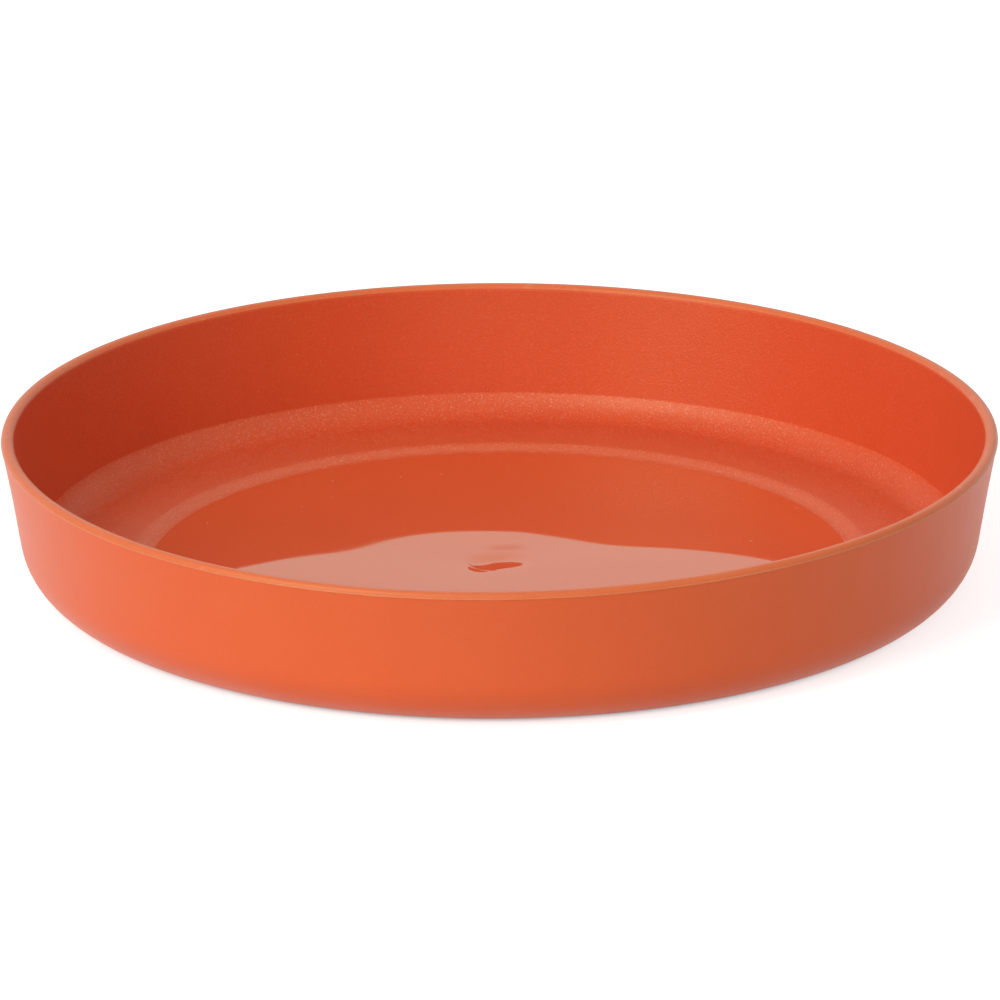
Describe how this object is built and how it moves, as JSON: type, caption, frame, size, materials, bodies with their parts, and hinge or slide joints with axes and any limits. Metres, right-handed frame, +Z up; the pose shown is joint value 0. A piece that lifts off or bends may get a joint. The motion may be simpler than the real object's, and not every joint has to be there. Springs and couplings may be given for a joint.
{
  "type": "plant saucer",
  "caption": "Round moulded plastic saucer that stands under a plant pot and catches water, with a drafted wall, a slim lip at the rim and a ring ledge around a lower floor.",
  "frame": {"origin": "centre of the resting plane under the base", "axes": "+Z up along the saucer's axis of revolution, X and Y in the resting plane"},
  "size_m": [0.175, 0.175, 0.027],
  "materials": {
    "terracotta_plastic": "fine moulded grain on wall, rim and ledge, polished on the inner floor"
  },
  "bodies": {
    "root": {"saucer": "terracotta_plastic"}
  },
  "joints": []
}
